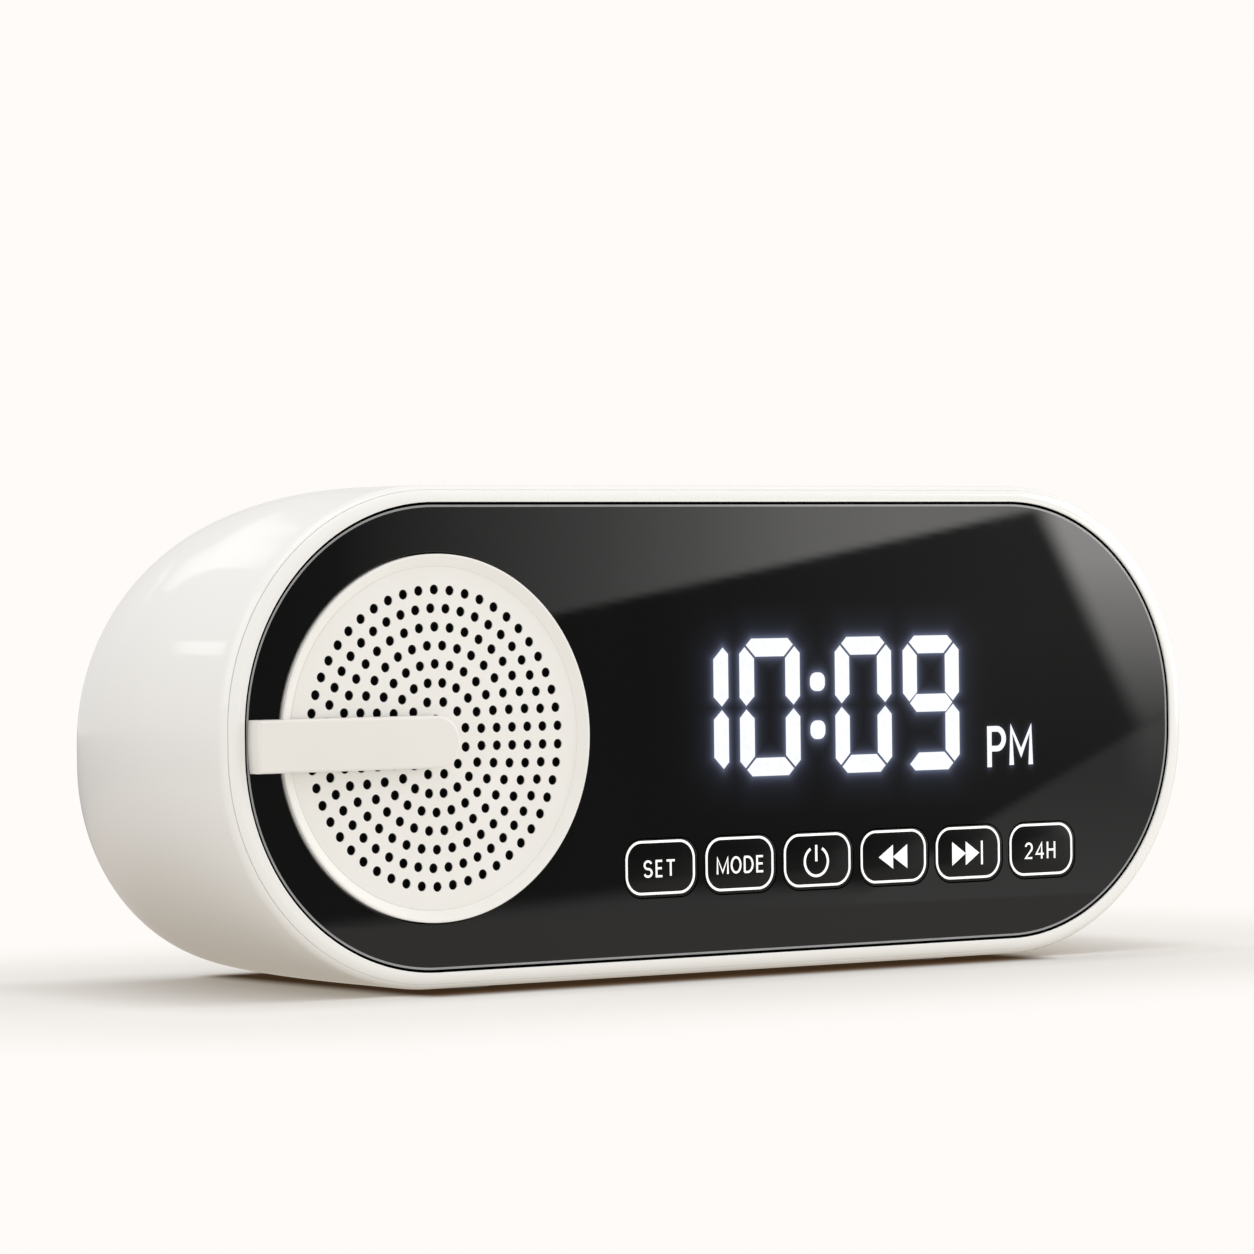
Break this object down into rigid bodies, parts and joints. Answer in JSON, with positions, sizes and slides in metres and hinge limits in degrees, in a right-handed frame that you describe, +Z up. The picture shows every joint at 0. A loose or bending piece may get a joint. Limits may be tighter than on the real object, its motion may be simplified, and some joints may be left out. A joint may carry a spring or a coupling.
{
  "type": "speaker clock",
  "caption": "Pill-shaped table clock with a glossy white casing, dark front panel, round speaker grille with a trim bar, segment display and push keys.",
  "frame": {"origin": "on the table, under the middle of the clock's width and depth", "axes": "+X to the right as seen from the front, -Y out of the front panel, +Z up"},
  "size_m": [0.158, 0.0526, 0.0652],
  "materials": {
    "white_gloss": "gloss",
    "panel_black": "mirror gloss",
    "key_black": "gloss",
    "grille_white": "satin",
    "bar_grey": "satin",
    "black_cloth": "woven",
    "black_plastic": "matt",
    "board_green": "solder resist",
    "segment_white": "diffusing",
    "tinted_film": "film",
    "foam": "foam",
    "rubber_black": "matt",
    "rubber_grey": "matt",
    "steel": "zinc plated",
    "black_steel": "black coat",
    "paper": "pressed paper",
    "spider_cloth": "treated cloth",
    "ferrite": "sintered",
    "copper": "enamelled wire",
    "aluminium": "satin",
    "connector_white": "matt",
    "cell_wrap": "shrink wrap"
  },
  "bodies": {
    "root": {"amplifier_chip": "black_plastic", "battery_cable": "rubber_black", "battery_cell": "cell_wrap", "battery_holder": "black_plastic", "battery_tape": "foam", "bluetooth_module": "steel", "capacitors": "aluminium", "card_socket": "steel", "casing_shell": "white_gloss", "display_film": "tinted_film", "display_housing": "black_plastic", "display_segments": "segment_white", "front_board": "board_green", "front_board_screws": "steel", "front_frame": "white_gloss", "front_panel": "panel_black", "grille_cloth": "black_cloth", "indicator_lens": "segment_white", "main_board": "board_green", "main_board_screws": "steel", "panel_tape": "foam", "power_inductor": "ferrite", "rear_cover": "white_gloss", "rear_cover_screws": "steel", "ribbon_cable": "connector_white", "ribbon_sockets": "black_plastic", "rubber_feet": "rubber_grey", "speaker_basket": "black_steel", "speaker_cable": "rubber_black", "speaker_gasket": "foam", "speaker_grille": "grille_white", "speaker_magnet": "ferrite", "speaker_screws": "steel", "speaker_spider": "spider_cloth", "speaker_surround": "rubber_black", "speaker_terminals": "black_plastic", "speaker_top_plate": "steel", "speaker_yoke": "steel", "switch_housings": "black_plastic", "trim_bar": "bar_grey", "usb_socket": "steel", "wire_plugs": "connector_white"},
    "key_set": {"key_set": "key_black", "plunger_set": "black_plastic"},
    "key_mode": {"key_mode": "key_black", "plunger_mode": "black_plastic"},
    "key_power": {"key_power": "key_black", "plunger_power": "black_plastic"},
    "key_rewind": {"key_rewind": "key_black", "plunger_rewind": "black_plastic"},
    "key_forward": {"key_forward": "key_black", "plunger_forward": "black_plastic"},
    "key_24h": {"key_24h": "key_black", "plunger_24h": "black_plastic"},
    "cone": {"speaker_cone": "paper", "dust_cap": "paper", "coil_former": "aluminium", "voice_coil": "copper"}
  },
  "joints": [
    {"name": "key_set_press", "type": "slide", "parent": "root", "child": "key_set", "axis": [0, 1, 0], "range_m": [0, 0.0005], "stiffness_N_per_m": 200},
    {"name": "key_mode_press", "type": "slide", "parent": "root", "child": "key_mode", "axis": [0, 1, 0], "range_m": [0, 0.0005], "stiffness_N_per_m": 200},
    {"name": "key_power_press", "type": "slide", "parent": "root", "child": "key_power", "axis": [0, 1, 0], "range_m": [0, 0.0005], "stiffness_N_per_m": 200},
    {"name": "key_rewind_press", "type": "slide", "parent": "root", "child": "key_rewind", "axis": [0, 1, 0], "range_m": [0, 0.0005], "stiffness_N_per_m": 200},
    {"name": "key_forward_press", "type": "slide", "parent": "root", "child": "key_forward", "axis": [0, 1, 0], "range_m": [0, 0.0005], "stiffness_N_per_m": 200},
    {"name": "key_24h_press", "type": "slide", "parent": "root", "child": "key_24h", "axis": [0, 1, 0], "range_m": [0, 0.0005], "stiffness_N_per_m": 200},
    {"name": "cone_travel", "type": "slide", "parent": "root", "child": "cone", "axis": [0, 1, 0], "range_m": [-0.0005, 0.0005], "stiffness_N_per_m": 200}
  ]
}
